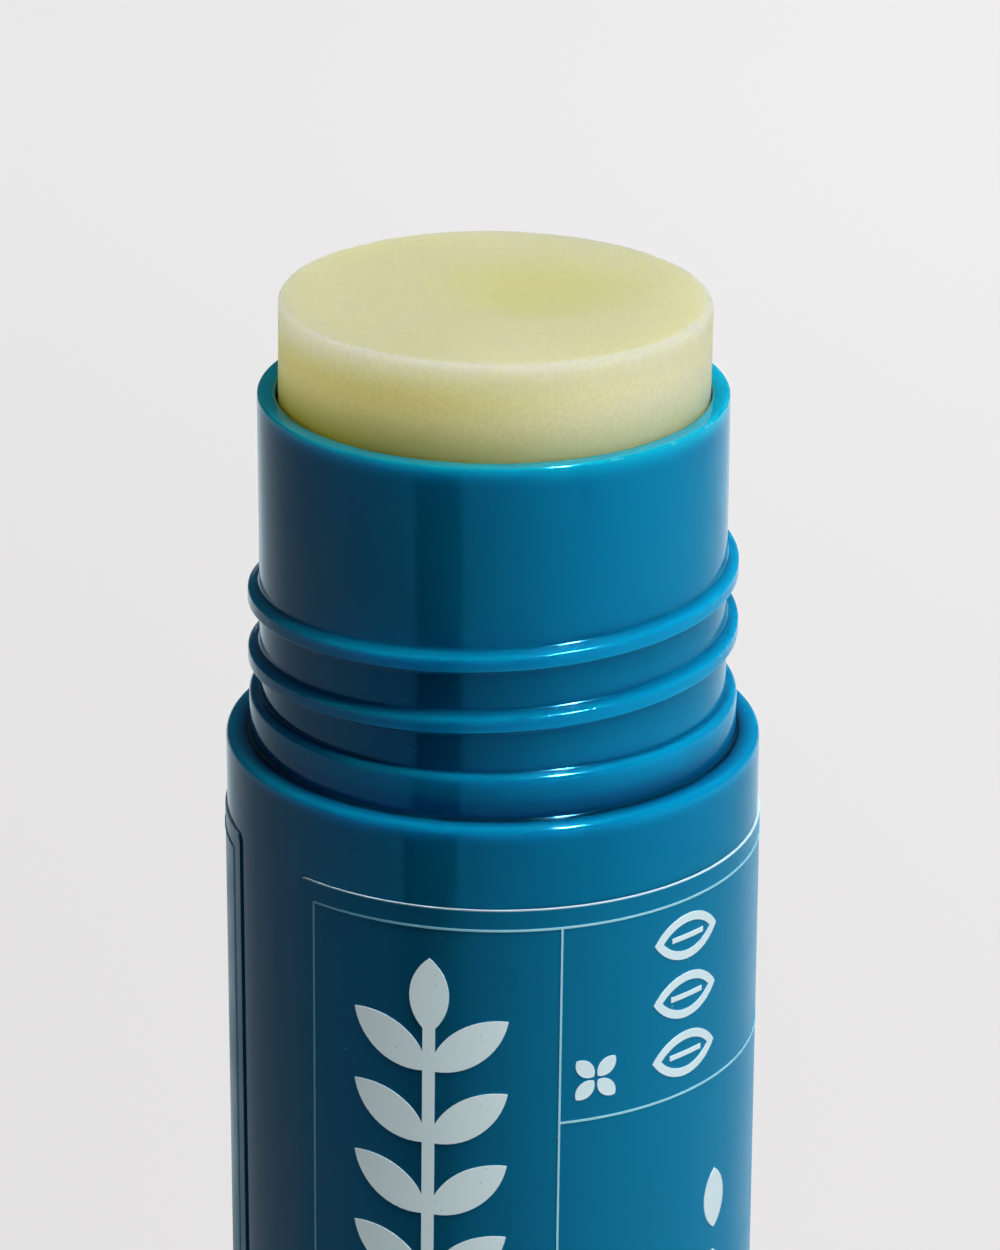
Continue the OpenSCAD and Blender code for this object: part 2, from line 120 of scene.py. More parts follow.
# Sizes of the wax
CUP_R = 9.1 * MM
CUP_H = 3.8 * MM
CORE_HOLE_R = 3.6 * MM
CORE_HOLE_TOP = 73.85 * MM
BALM_TOP = RIM_Z + 4.6 * MM
BALM_EDGE = 0.42 * MM
BALM_SLOPE = math.radians(0.7)
BALM_LEAN = 0.09 * MM
BALM_STEPS = 480
DENSE_H = 8 * MM
SLOT_W = 1.5 * MM
SLOT_R = 9.6 * MM
SLOT_TOP = 74.9 * MM
FINS = 6
FIN_T = 0.8 * MM
FIN_REACH = 2.2 * MM
FIN_H = 3 * MM
SINK_AT = Vector((2.2 * MM, 1.2 * MM))
SINK_REACH = Vector((6.4 * MM, 5.5 * MM))
SINK_DEPTH = 0.17 * MM

# The film's border, and the levels and directions of the thin rules on it
FILM_TOP = SHOULDER_Z - 4 * MM
FILM_LEAN = math.radians(0.5)
RULE_LEVELS = (SHOULDER_Z - 5.03 * MM, SHOULDER_Z - 15.1 * MM, SHOULDER_Z - 46.17 * MM)
RULE_DIRECTIONS = (-73.3, -40.2, 14.6, 104.6)

# The floor's colour from its painted shade to its painted light, and how bright it is in reflections by its
# direction from the tube, in degrees from the front to the right
FLOOR_SHADED = (0.85, 0.832, 0.833)
FLOOR_LIT = (1.0, 0.983, 0.985)
FLOOR_GLOW = 0.8
FLOOR_MIRRORED = (
    (-180, 0.48), (-170, 0.52), (-160, 0.86), (-150, 0.66), (-140, 0.52), (-120, 0.38), (-100, 0.42),
    (-80, 0.60), (-60, 0.70), (-37.5, 0.72), (-35.5, 0.0), (-15, 0.0), (-13.5, 0.90), (30, 0.90),
    (60, 0.60), (80, 0.40), (100, 0.32), (120, 0.36), (140, 0.64), (160, 0.86), (170, 0.72), (180, 0.66),
)
MIRROR_TINT = (0.84, 1.02, 1.08)
LAMP_DISTANCE = 0.6

# How far the painted shade reaches into the moulding's corners and how wide the painted glow along its
# edges is
CORNER_REACH = 2.2 * MM
EDGE_WIDTH = 0.8 * MM

# Colours of the moulding, with its deep and light blue first, then painted shade, painted glow, pale nicks
# with a painted glint, and dust
SHELL_BLUES = ((0.001, 0.205, 0.378), (0.001, 0.23, 0.415))
SHELL_CORNER_SHADE = (0.001, 0.035, 0.12)
SHELL_FOOT_SHADE = (0.001, 0.03, 0.12)
SHELL_EDGE_GLOW = (0.002, 0.36, 0.60)
SHELL_RIM_GLOW = (0.002, 0.40, 0.58)
SHELL_SCUFF_AND_GLINT = (0.40, 0.80, 0.92)
SHELL_DUST = (0.55, 0.72, 0.76)
BLUE_GLINT = (0.05, 0.50, 1.0, 1)
NATURAL_WHITES = ((0.68, 0.69, 0.64), (0.76, 0.77, 0.73))

# Colours of the film and the inks, whose pairs run from thin to thick, and of the rules from left to right,
# darker on the left as painted shade
FILM_BLUES = ((0.0023, 0.153, 0.285), (0.0026, 0.156, 0.29))
FILM_DUST = (0.60, 0.72, 0.74)
FILM_BORDER_HIGHLIGHT = (0.55, 0.72, 0.78)
WHITE_INKS = ((0.72, 0.90, 0.95), (0.76, 0.93, 0.97))
GREY_INKS = ((0.76, 0.90, 0.91), (0.80, 0.94, 0.95))
RULE_INKS_SHADE_TO_LIGHT = ((0.09, 0.26, 0.36), (0.34, 0.68, 0.76))
PINHOLE = (0.03, 0.30, 0.42)

# Colours of the wax, whose side runs from the left to the right in each pair, with painted shade and
# painted light in the side's colours
WAX_TOPS = ((0.695, 0.655, 0.38), (0.735, 0.695, 0.42))
WAX_DISHED = (0.70, 0.665, 0.27)
WAX_EDGES_FROST_AND_GLOW = ((0.84, 0.78, 0.60), (0.69, 0.67, 0.51))
WAX_SIDES_SHADED_TO_LIT = ((0.82, 0.735, 0.30), (0.83, 0.785, 0.55))
WAX_SHADED_AT_RIM = ((0.45, 0.385, 0.02), (0.66, 0.66, 0.27))
WAX_LOW = (0.745, 0.71, 0.39)
WAX_CRYSTAL = (0.42, 0.38, 0.12)
WAX_CRUMB = (0.55, 0.50, 0.22)

# The photograph's camera
PHOTO_H = 1250
FOCAL_PX = 5391.7
CAMERA_AT = Vector((0, -238.91 * MM, 158.18 * MM))
CAMERA_PITCH = 0.37897
CAMERA_YAW = 0.00138
CAMERA_ROLL = 0.00319


# Meshes


def rounded(corners, parts=6):
    """Points of a profile whose corners, given as (radius, height, round), are cut by arcs."""
    points = []
    for number, (radius, height, size) in enumerate(corners):
        corner = Vector((radius, height))
        if size == 0:
            points.append((radius, height))
            continue
        before = (Vector(corners[number - 1][:2]) - corner).normalized()
        after = (Vector(corners[(number + 1) % len(corners)][:2]) - corner).normalized()
        half = before.angle(after) / 2
        centre = corner + (before + after).normalized() * size / math.sin(half)
        start = (corner + before * size / math.tan(half) - centre).normalized()
        end = (corner + after * size / math.tan(half) - centre).normalized()
        points += [tuple(centre + start.slerp(end, step / parts) * size) for step in range(parts + 1)]
    return points


def span(start, end, parts):
    """Evenly spaced points of a straight stretch of a profile, without its two ends."""
    shares = [step / parts for step in range(1, parts)]
    return [(start[0] + (end[0] - start[0]) * s, start[1] + (end[1] - start[1]) * s) for s in shares]


def smooth(share):
    """A soft step from 0 to 1."""
    share = min(1.0, max(0.0, share))
    return share * share * (3 - 2 * share)


def finish_mesh(bm, name, sharp):
    """A mesh with merged corners, outward faces and smooth shading between its sharp edges."""
    bmesh.ops.remove_doubles(bm, verts=bm.verts, dist=0.0005 * MM)
    bmesh.ops.recalc_face_normals(bm, faces=bm.faces)
    mesh = bpy.data.meshes.new(name)
    bm.to_mesh(mesh)
    bm.free()
    mesh.polygons.foreach_set("use_smooth", [True] * len(mesh.polygons))
    mesh.set_sharp_from_angle(angle=math.radians(sharp))
    return mesh


def make_piece(bm, name, body, node, material, sharp=35):
    """Turns a bmesh into a piece that rides on a body and stands for a CAD node."""
    piece = bpy.data.objects.new(name, finish_mesh(bm, name, sharp))
    piece.data.materials.append(material)
    bpy.context.scene.collection.objects.link(piece)
    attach(piece, body)
    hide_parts(node)
    return piece


def copy_moved(bm, geom, turn, climb):
    """Adds a copy of some geometry, turned about the tube's axis and lifted."""
    made = bmesh.ops.duplicate(bm, geom=geom)["geom"]
    verts = [item for item in made if isinstance(item, bmesh.types.BMVert)]
    bmesh.ops.transform(
        bm, verts=verts, matrix=Matrix.Translation((0, 0, climb)) @ Matrix.Rotation(turn, 4, "Z"))


def revolve(bm, profile, steps, climb=0.0):
    """Spins a row of (radius, height) points one turn round the axis, climbing as it goes.

    An eighth of the turn is spun and doubled three times, which is far quicker than one long spin.
    """
    verts = [bm.verts.new((r, 0, z)) for r, z in profile]
    edges = [bm.edges.new(pair) for pair in zip(verts, verts[1:])]
    bmesh.ops.spin(
        bm, geom=verts + edges, cent=(0, 0, 0), axis=(0, 0, 1), dvec=(0, 0, climb / steps),
        angle=math.tau / 8, steps=steps // 8, use_merge=False, use_duplicate=False,
    )
    for eighths in (1, 2, 4):
        geom = bm.verts[:] + bm.edges[:] + bm.faces[:]
        copy_moved(bm, geom, math.tau * eighths / 8, climb * eighths / 8)
    bmesh.ops.remove_doubles(bm, verts=bm.verts, dist=0.0005 * MM)


def add_block(bm, low, high, turn=0.0):
    """A block between two corners, turned about the tube's axis."""
    size = [b - a for a, b in zip(low, high)]
    middle = [(a + b) / 2 for a, b in zip(low, high)]
    place = Matrix.Rotation(turn, 4, "Z") @ Matrix.Translation(middle) @ Matrix.Diagonal((*size, 1))
    bmesh.ops.create_cube(bm, size=1, matrix=place)


def open_ring(bm, height):
    """The open edges that lie at a height."""
    near = 0.01 * MM
    return [
        edge for edge in bm.edges
        if len(edge.link_faces) == 1 and all(abs(vert.co.z - height) < near for vert in edge.verts)
    ]


def carry_ring(bm, ring, profile):
    """Extrudes an open ring along the (radius, height) points of a profile and returns its last ring."""
    for radius, height in profile:
        made = bmesh.ops.extrude_edge_only(bm, edges=ring)["geom"]
        verts = {item for item in made if isinstance(item, bmesh.types.BMVert)}
        ring = [item for item in made if isinstance(item, bmesh.types.BMEdge) and set(item.verts) <= verts]
        for vert in verts:
            scale = radius / math.hypot(vert.co.x, vert.co.y)
            vert.co = (vert.co.x * scale, vert.co.y * scale, height)
    return ring


def thread_section():
    """One pitch of the neck's wall as (radius, height), with the thread's ridge at height 0."""
    crest_r = NECK_R + THREAD_OUT
    corners = [
        (NECK_R, -THREAD_PITCH / 2, 0),
        (NECK_R, -THREAD_ROOT_W / 2, THREAD_ROOT_ROUND),
        (crest_r, -THREAD_CREST_W / 2, THREAD_CREST_ROUND),
        (crest_r, 0, 0),
        (crest_r, THREAD_CREST_W / 2, THREAD_CREST_ROUND),
        (NECK_R, THREAD_ROOT_W / 2, THREAD_ROOT_ROUND),
        (NECK_R, THREAD_PITCH / 2, 0),
    ]
    points = rounded(corners)
    low = span(points[0], points[1], 4)
    high = span(points[-2], points[-1], 4)
    return points[:1] + low + points[1:-1] + high + points[-1:]


def thread_turned(point):
    """How far round the thread a point of the neck lies, in radians from its lower end."""
    lower_z = SHOULDER_Z + THREAD_FRONT - THREAD_PITCH * THREAD_BEFORE / math.tau
    angle = math.atan2(point.y, point.x) + math.pi / 2 + THREAD_BEFORE
    climbed = (point.z - lower_z) / THREAD_PITCH * math.tau
    return angle + math.tau * round((climbed - angle) / math.tau)


def threaded_band(bm, low_z, high_z):
    """The neck's wall with its thread between two heights: a helical strip, cut level at both ends."""
    start_z = SHOULDER_Z + THREAD_FRONT + THREAD_PITCH / 4
    start_z -= THREAD_PITCH * math.ceil((start_z + THREAD_PITCH / 2 - low_z) / THREAD_PITCH)
    turns = math.ceil((high_z + THREAD_PITCH / 2 - start_z) / THREAD_PITCH)
    revolve(bm, [(r, start_z + z) for r, z in thread_section()], TURN_STEPS, THREAD_PITCH)
    first_turn = bm.verts[:] + bm.edges[:] + bm.faces[:]
    for turn in range(1, turns):
        copy_moved(bm, first_turn, 0, THREAD_PITCH * turn)
    bmesh.ops.remove_doubles(bm, verts=bm.verts, dist=0.0005 * MM)
    whole_turn = THREAD_BEFORE + THREAD_AFTER
    for vert in bm.verts:
        radius = math.hypot(vert.co.x, vert.co.y)
        turned = thread_turned(vert.co)
        rise = smooth(min(turned, whole_turn - turned) / THREAD_FADE)
        draft = NECK_DRAFT * min(1.0, max(0.0, (high_z - vert.co.z) / (high_z - low_z)))
        wanted = NECK_R + (radius - NECK_R) * rise + draft
        vert.co.x *= wanted / radius
        vert.co.y *= wanted / radius
    for height, up in ((low_z, -1), (high_z, 1)):
        bmesh.ops.bisect_plane(
            bm, geom=bm.verts[:] + bm.edges[:] + bm.faces[:], dist=0.0001 * MM,
            plane_co=(0, 0, height), plane_no=(0, 0, up), clear_outer=True, clear_inner=False,
        )


def make_barrel(material):
    """The inner tube: threaded neck, rim, collar, web, guide ribs and the bead that the dial snaps on."""
    sleeve_z = SLEEVE_LOW.z
    barrel_z = BARREL_LOW.z
    bead_z = barrel_z + SNAP_Z
    ring_r = TUBE_R - SLEEVE_WALL - RUNNING_GAP
    collar_z = SHOULDER_Z + COLLAR_H
    low_z = collar_z + NECK_ROOT
    high_z = SHOULDER_Z + THREAD_FRONT + THREAD_PITCH / 2 + THREAD_ROOT_W / 2 + THREAD_ROOT_ROUND
    root_r = NECK_R + NECK_DRAFT
    bm = bmesh.new()
    threaded_band(bm, low_z, high_z)
    high_ring = open_ring(bm, high_z)
    low_ring = open_ring(bm, low_z)
    upward = rounded([
        (NECK_R, high_z, 0),
        (NECK_R, RIM_Z, RIM_ROUND),
        (BORE_R, RIM_Z, RIM_ROUND),
        (BORE_R, WEB_Z + WEB_T, 0),
        (JOURNAL_HOLE_R, WEB_Z + WEB_T, 0),
        (JOURNAL_HOLE_R, WEB_Z, 0),
    ])
    downward = rounded([
        (root_r, low_z, 0),
        (root_r, collar_z, NECK_ROOT * 0.9),
        (COLLAR_R, collar_z, COLLAR_ROUND),
        (COLLAR_R, SHOULDER_Z, FOOT_FILLET * 0.9),
        (COLLAR_R + FOOT_FILLET, SHOULDER_Z, 0),
        (NECK_R, SHOULDER_Z, 0),
        (NECK_R, WEB_Z + COLLAR_R - NECK_R, 0),
        (ring_r, WEB_Z, 0),
        (ring_r, sleeve_z, 0),
        (NECK_R, sleeve_z, 0),
        (NECK_R, bead_z + SNAP_OUT, 0),
        (NECK_R + SNAP_OUT, bead_z, 0),
        (NECK_R, bead_z - SNAP_OUT, 0),
        (NECK_R, barrel_z + SNAP_OUT, 0),
        (NECK_R - SNAP_OUT, barrel_z, 0),
        (BORE_R, barrel_z, 0),
        (BORE_R, WEB_Z, 0),
    ])
    high_ring = carry_ring(bm, high_ring, upward[1:])
    low_ring = carry_ring(bm, low_ring, downward[1:])
    bmesh.ops.bridge_loops(bm, edges=high_ring + low_ring)
    for turn in (0, math.pi):
        low = (BORE_R - RIB_H, -RIB_W / 2, WEB_Z + WEB_T / 2)
        add_block(bm, low, (BORE_R + BARREL_WALL / 2, RIB_W / 2, RIM_Z - RIB_DROP), turn)
    return make_piece(bm, "neck_and_barrel", "case", "barrel", material)


def make_sleeve(material):
    """The outer shell with its rounded shoulder."""
    inner_r = TUBE_R - SLEEVE_WALL
    under = SHOULDER_Z - SHOULDER_T
    profile = rounded([
        (inner_r, SLEEVE_LOW.z, 0),
        (TUBE_R, SLEEVE_LOW.z, SHOULDER_ROUND / 2),
        (TUBE_R, SHOULDER_Z, SHOULDER_ROUND),
        (NECK_R + RUNNING_GAP, SHOULDER_Z, 0),
        (NECK_R + RUNNING_GAP, under, 0),
        (inner_r, under, 0),
    ])
    bm = bmesh.new()
    revolve(bm, profile + profile[:1], TURN_STEPS)
    return make_piece(bm, "outer_sleeve", "case", "sleeve", material)


def flute_cut(point):
    """How deep the grip's flutes are at a point of the dial's side."""
    pitch = math.tau / FLUTES
    angle = math.atan2(point.y, point.x)
    across = (angle - pitch * round(angle / pitch)) * TUBE_R
    from_end = min(point.z, DIAL_HIGH.z - point.z) - FLUTE_MARGIN
    end = FLUTE_R - min(FLUTE_R, max(0.0, from_end))
    inside = FLUTE_R ** 2 - across ** 2 - end ** 2
    if from_end <= 0 or inside <= 0:
        return 0.0
    return max(0.0, FLUTE_DEPTH - FLUTE_R + math.sqrt(inside))


def make_dial(material):
    """The base that is turned by hand, with fluted grip, snap groove, hub and square socket."""
    inner_r = NECK_R + RUNNING_GAP
    groove = SNAP_OUT + RUNNING_GAP
    bead_z = BARREL_LOW.z + SNAP_Z
    top = DIAL_HIGH.z
    foot_r = TUBE_R - DIAL_ROUND - FOOT_W
    flute_low = FLUTE_MARGIN + FLUTE_R
    flute_high = top - flute_low
    profile = rounded([
        (0, FOOT_RECESS, 0),
        (foot_r, FOOT_RECESS, DIAL_EDGE),
        (foot_r, 0, DIAL_EDGE),
        (TUBE_R, 0, DIAL_ROUND),
        (TUBE_R, FLUTE_MARGIN, 0),
        (TUBE_R, top, DIAL_EDGE),
        (inner_r, top, 0),
        (inner_r, bead_z + groove, 0),
        (inner_r + groove, bead_z, 0),
        (inner_r, bead_z - groove, 0),
        (inner_r, DIAL_INNER_Z, 0),
        (0, DIAL_INNER_Z, 0),
    ])
    side = profile.index((TUBE_R, FLUTE_MARGIN)) + 1
    rows = [FLUTE_MARGIN, flute_low, flute_high, top - FLUTE_MARGIN]
    for low, high in reversed(list(zip(rows, rows[1:]))):
        profile[side:side] = span((TUBE_R, low), (TUBE_R, high), 6) + [(TUBE_R, high)]
    bm = bmesh.new()
    revolve(bm, profile, FLUTES * FLUTE_COLUMNS)
    for vert in bm.verts:
        if math.hypot(vert.co.x, vert.co.y) > TUBE_R - 0.001 * MM:
            scale = 1 - flute_cut(vert.co) / TUBE_R
            vert.co.x *= scale
            vert.co.y *= scale
    # The hub is a round wall with the square socket in it, rooted in the floor
    hub_floor = DIAL_INNER_Z - HUB_WALL / 4
    hub_r = SOCKET_W / math.sqrt(2) + HUB_WALL
    before = set(bm.edges)
    place = Matrix.Translation((0, 0, hub_floor))
    quarter = Matrix.Rotation(math.pi / 4, 4, "Z")
    bmesh.ops.create_circle(bm, segments=48, radius=hub_r, matrix=place)
    bmesh.ops.create_circle(bm, segments=4, radius=SOCKET_W / math.sqrt(2), matrix=place @ quarter)
    outlines = [edge for edge in bm.edges if edge not in before]
    wall = bmesh.ops.triangle_fill(bm, edges=outlines, use_beauty=True)["geom"]
    faces = [item for item in wall if isinstance(item, bmesh.types.BMFace)]
    lifted = bmesh.ops.extrude_face_region(bm, geom=faces, use_keep_orig=True)["geom"]
    verts = [item for item in lifted if isinstance(item, bmesh.types.BMVert)]
    bmesh.ops.translate(bm, verts=verts, vec=(0, 0, top - hub_floor))
    return make_piece(bm, "turning_dial", "dial", "dial", material)


def sink_at(x, y):
    """Depth of the hollow in the wax at a place on its top. Its front lip is steep and its back is soft."""
    away = Vector(((x - SINK_AT.x) / SINK_REACH.x, (y - SINK_AT.y) / SINK_REACH.y))
    distance = away.length
    facing = 0.0
    if distance > 0:
        facing = max(0.0, -(away.y * 0.98 + away.x * 0.17) / distance)
    softness = 0.9 - 0.62 * facing ** 5
    wander = noise.noise(Vector((x, y, 0)) * 240) * 0.05
    return SINK_DEPTH * smooth((1 + wander - distance) / softness)


# Chips in the wax's upper edge, as (angle from the front to the right, width in degrees, depth)
EDGE_CHIPS = (
    (-141, 1.6, 0.10 * MM),
    (-136, 1.2, 0.06 * MM),
    (129, 1.1, 0.12 * MM),
    (124, 0.8, 0.06 * MM),
    (107, 1.2, 0.09 * MM),
    (-62, 1.3, 0.05 * MM),
    (-48, 0.9, 0.04 * MM),
    (24, 1.0, 0.04 * MM),
    (66, 1.2, 0.05 * MM),
)


def chip_at(x, y):
    """How far the wax's upper edge is chipped away at a place."""
    angle = math.degrees(math.atan2(x, -y))
    depth = 0.0
    for place, width, chip in EDGE_CHIPS:
        off = (angle - place + 180) % 360 - 180
        depth += chip * math.exp(-(off / width) ** 2)
    return depth


def shape_balm(co):
    """Moves a point of the plain wax stick to where the poured and used wax has it."""
    radius = math.hypot(co.x, co.y)
    high = smooth((co.z - (BALM_TOP - DENSE_H)) / DENSE_H)
    face = smooth((co.z - (BALM_TOP - 0.6 * MM)) / (0.55 * MM))
    drop = math.tan(BALM_SLOPE) * co.x * high
    chip = chip_at(co.x, co.y) * face * smooth((radius - BALM_R + 0.5 * MM) / (0.35 * MM))
    if co.z > CORE_HOLE_TOP + 1 * MM:
        ripple = noise.noise(Vector((co.x, co.y, 3.0)) * 330) * 0.025 + noise.noise(co * 1400) * 0.006
        drop += face * (sink_at(co.x, co.y) + ripple * MM) + chip
    if radius > BALM_R * 0.95:
        wave = noise.noise(Vector((co.x, co.y, co.z * 0.4)) * 190) * 0.02 + noise.noise(co * 1100) * 0.006
        grow = 1 + (wave * high * MM - chip * 0.6) / radius
        co.x *= grow
        co.y *= grow
    co.x += BALM_LEAN * high
    co.z -= drop


def wax_slots():
    """What is cut out of the wax: the slots of the guide ribs and the grooves of the cup's fins."""
    bm = bmesh.new()
    cup_z = BALM_LOW.z
    for turn in (0, math.pi):
        add_block(bm, (SLOT_R, -SLOT_W / 2, cup_z + CUP_H), (TUBE_R, SLOT_W / 2, SLOT_TOP), turn)
    for fin in range(FINS):
        low = (CUP_R - FIN_REACH, -FIN_T / 2, cup_z - 1 * MM)
        high = (CUP_R + 0.5 * MM, FIN_T / 2, cup_z + FIN_H)
        add_block(bm, low, high, math.tau * (fin + 0.5) / FINS)
    return bpy.data.objects.new("wax_slots", finish_mesh(bm, "wax_slots", 30))


def make_balm(material):
    """The wax stick, with a soft chipped edge, a hollow in its top and slots for the guide ribs."""
    cup_z = BALM_LOW.z
    dense_z = BALM_TOP - DENSE_H
    rings = 48
    flat_r = BALM_R - BALM_EDGE
    corners = rounded([(BALM_R, cup_z, 0), (BALM_R, BALM_TOP, BALM_EDGE), (0, BALM_TOP, 0)])
    profile = [(0, CORE_HOLE_TOP), (CORE_HOLE_R, CORE_HOLE_TOP), (CORE_HOLE_R, cup_z), (CUP_R, cup_z)]
    profile += [(CUP_R, cup_z + CUP_H), (BALM_R, cup_z + CUP_H)]
    profile += span((BALM_R, cup_z + CUP_H), (BALM_R, dense_z), 10) + [(BALM_R, dense_z)]
    profile += span((BALM_R, dense_z), corners[1], 32) + corners[1:-1]
    profile += span((flat_r, BALM_TOP), (0, BALM_TOP), rings) + [(0, BALM_TOP)]
    bm = bmesh.new()
    revolve(bm, profile, BALM_STEPS)
    for vert in bm.verts:
        shape_balm(vert.co)
    piece = make_piece(bm, "wax_stick", "carrier", "balm", material, sharp=50)
    cutter = wax_slots()
    bpy.context.scene.collection.objects.link(cutter)
    cut = piece.modifiers.new("slots", "BOOLEAN")
    cut.operation = "DIFFERENCE"
    cut.solver = "EXACT"
    cut.object = cutter
    bpy.context.view_layer.update()
    shaped = bpy.data.meshes.new_from_object(piece.evaluated_get(bpy.context.evaluated_depsgraph_get()))
    piece.modifiers.clear()
    piece.data = shaped
    bpy.data.objects.remove(cutter)
    return piece


# Materials


def add(tree, kind, values=None, **settings):
    """A node with its settings and the values of its sockets."""
    node = tree.nodes.new(kind)
    for key, value in settings.items():
        setattr(node, key, value)
    for socket, value in (values or {}).items():
        node.inputs[socket].default_value = value
    return node


def maths(tree, operation, *operands, clamp=False):
    """The output of a Math node. Each operand is a number or a socket."""
    node = add(tree, "ShaderNodeMath", operation=operation, use_clamp=clamp)
    for socket, operand in zip(node.inputs, operands):
        if isinstance(operand, (int, float)):
            socket.default_value = operand
        else:
            tree.links.new(operand, socket)
    return node.outputs[0]


def stepped(tree, value, low, high, to_low=0.0, to_high=1.0):
    """A value mapped softly from one range to another."""
    node = add(tree, "ShaderNodeMapRange", interpolation_type="SMOOTHSTEP")
    tree.links.new(value, node.inputs["Value"])
    for socket, number in zip(("From Min", "From Max", "To Min", "To Max"), (low, high, to_low, to_high)):
        node.inputs[socket].default_value = number
    return node.outputs["Result"]


def mixed(tree, share, first, second):
    """A colour between two others, each a colour or a socket."""
    node = add(tree, "ShaderNodeMix", data_type="RGBA")
    tree.links.new(share, node.inputs["Factor"])
    for socket, colour in ((node.inputs[6], first), (node.inputs[7], second)):
        if isinstance(colour, tuple):
            socket.default_value = (*colour, 1)
        else:
            tree.links.new(colour, socket)
    return node.outputs[2]


def axes_of(tree, vector):
    """X, Y and Z of a vector."""
    node = add(tree, "ShaderNodeSeparateXYZ")
    tree.links.new(vector, node.inputs["Vector"])
    return node.outputs


def object_place(tree):
    """The point on the piece, in metres."""
    return add(tree, "ShaderNodeTexCoord").outputs["Object"]


def textured(tree, vector, kind="ShaderNodeTexNoise", **values):
    """A noise or cell texture on a vector."""
    node = add(tree, kind, {key.replace("_", " "): value for key, value in values.items()})
    tree.links.new(vector, node.inputs["Vector"])
    return node


def new_group(name, inputs, outputs):
    """An empty shader group with named number sockets, and its two end nodes."""
    tree = bpy.data.node_groups.new(name, "ShaderNodeTree")
    for label, start in inputs.items():
        socket = tree.interface.new_socket(label, in_out="INPUT", socket_type="NodeSocketFloat")
        socket.default_value = start
    for label in outputs:
        tree.interface.new_socket(label, in_out="OUTPUT", socket_type="NodeSocketFloat")
    return tree, tree.nodes.new("NodeGroupInput"), tree.nodes.new("NodeGroupOutput")


def skin_group():
    """The skin of a moulding: soft unevenness, fine grain and the turned lines of its mould."""
    inputs = {"Peel Scale": 900.0, "Grain Scale": 9000.0, "Turned Lines": 0.3}
    tree, start, end = new_group("moulded_skin", inputs, ("Height", "Blotch"))
    place = object_place(tree)
    peel = textured(tree, place, Detail=2.0, Roughness=0.4)
    grain = textured(tree, place, Detail=3.0, Roughness=0.6)
    blotch = textured(tree, place, Scale=160.0, Detail=3.0, Roughness=0.55)
    tree.links.new(start.outputs["Peel Scale"], peel.inputs["Scale"])
    tree.links.new(start.outputs["Grain Scale"], grain.inputs["Scale"])
    # The mould was turned on a lathe, so its marks run round the tube
    level = add(tree, "ShaderNodeMapping", {"Scale": (0.012, 0.012, 1.0)})
    tree.links.new(place, level.inputs["Vector"])
    lines = textured(tree, level.outputs["Vector"], Scale=11000.0, Detail=2.0, Roughness=0.6)
    turned = maths(tree, "MULTIPLY", lines.outputs["Fac"], start.outputs["Turned Lines"])
    height = maths(tree, "MULTIPLY_ADD", grain.outputs["Fac"], 0.12, peel.outputs["Fac"])
    tree.links.new(maths(tree, "ADD", height, turned), end.inputs["Height"])
    tree.links.new(blotch.outputs["Fac"], end.inputs["Blotch"])
    return tree


def speck_group():
    """Scattered specks, such as dust, pinholes and nicks: 1 in a speck and 0 between them."""
    tree, start, end = new_group("scattered_specks", {"Scale": 900.0, "Size": 0.1, "Share": 0.1}, ("Mask",))
    cells = textured(tree, object_place(tree), "ShaderNodeTexVoronoi", Randomness=1.0)
    tree.links.new(start.outputs["Scale"], cells.inputs["Scale"])
    chosen = add(tree, "ShaderNodeSeparateColor")
    tree.links.new(cells.outputs["Color"], chosen.inputs["Color"])
    kept = maths(tree, "LESS_THAN", chosen.outputs["Red"], start.outputs["Share"])
    size = maths(tree, "MULTIPLY", start.outputs["Size"], maths(tree, "ADD", chosen.outputs["Green"], 0.3))
    near = maths(tree, "LESS_THAN", cells.outputs["Distance"], size)
    tree.links.new(maths(tree, "MULTIPLY", kept, near), end.inputs["Mask"])
    return tree


def corner_group():
    """Corners for painted shade: Open is 0 deep in a corner and 1 out of it. Edge is 1 along outer edges,
    for painted glow.
    """
    inputs = {"Reach": CORNER_REACH, "Edge Width": EDGE_WIDTH}
    tree, start, end = new_group("painted_corner_shade_and_edge_glow", inputs, ("Open", "Edge"))
    around = add(tree, "ShaderNodeAmbientOcclusion", samples=6)
    within = add(tree, "ShaderNodeAmbientOcclusion", samples=6, inside=True, only_local=True)
    tree.links.new(start.outputs["Reach"], around.inputs["Distance"])
    tree.links.new(start.outputs["Edge Width"], within.inputs["Distance"])
    tree.links.new(around.outputs["AO"], end.inputs["Open"])
    tree.links.new(maths(tree, "SUBTRACT", 1.0, within.outputs["AO"]), end.inputs["Edge"])
    return tree


def placed(tree, group, **values):
    """A group placed in a material with its own values."""
    node = add(tree, "ShaderNodeGroup", node_tree=group)
    for socket, value in values.items():
        node.inputs[socket.replace("_", " ")].default_value = value
    return node.outputs


def new_material(name, values):
    """A material with one Principled shader, its tree and that shader."""
    material = bpy.data.materials.new(name)
    material.use_nodes = True
    tree = material.node_tree
    shader = tree.nodes["Principled BSDF"]
    for socket, value in values.items():
        shader.inputs[socket].default_value = value
    return material, tree, shader


def bumped(tree, shader, height, strength, distance):
    """Feeds a height to the shader's normal."""
    bump = add(tree, "ShaderNodeBump", {"Strength": strength, "Distance": distance})
    tree.links.new(height, bump.inputs["Height"])
    tree.links.new(bump.outputs["Normal"], shader.inputs["Normal"])


def axis_distance(tree, place):
    """How far a point is from the tube's axis."""
    x, y, z = axes_of(tree, place)
    return maths(tree, "SQRT", maths(tree, "ADD", maths(tree, "POWER", x, 2), maths(tree, "POWER", y, 2)))


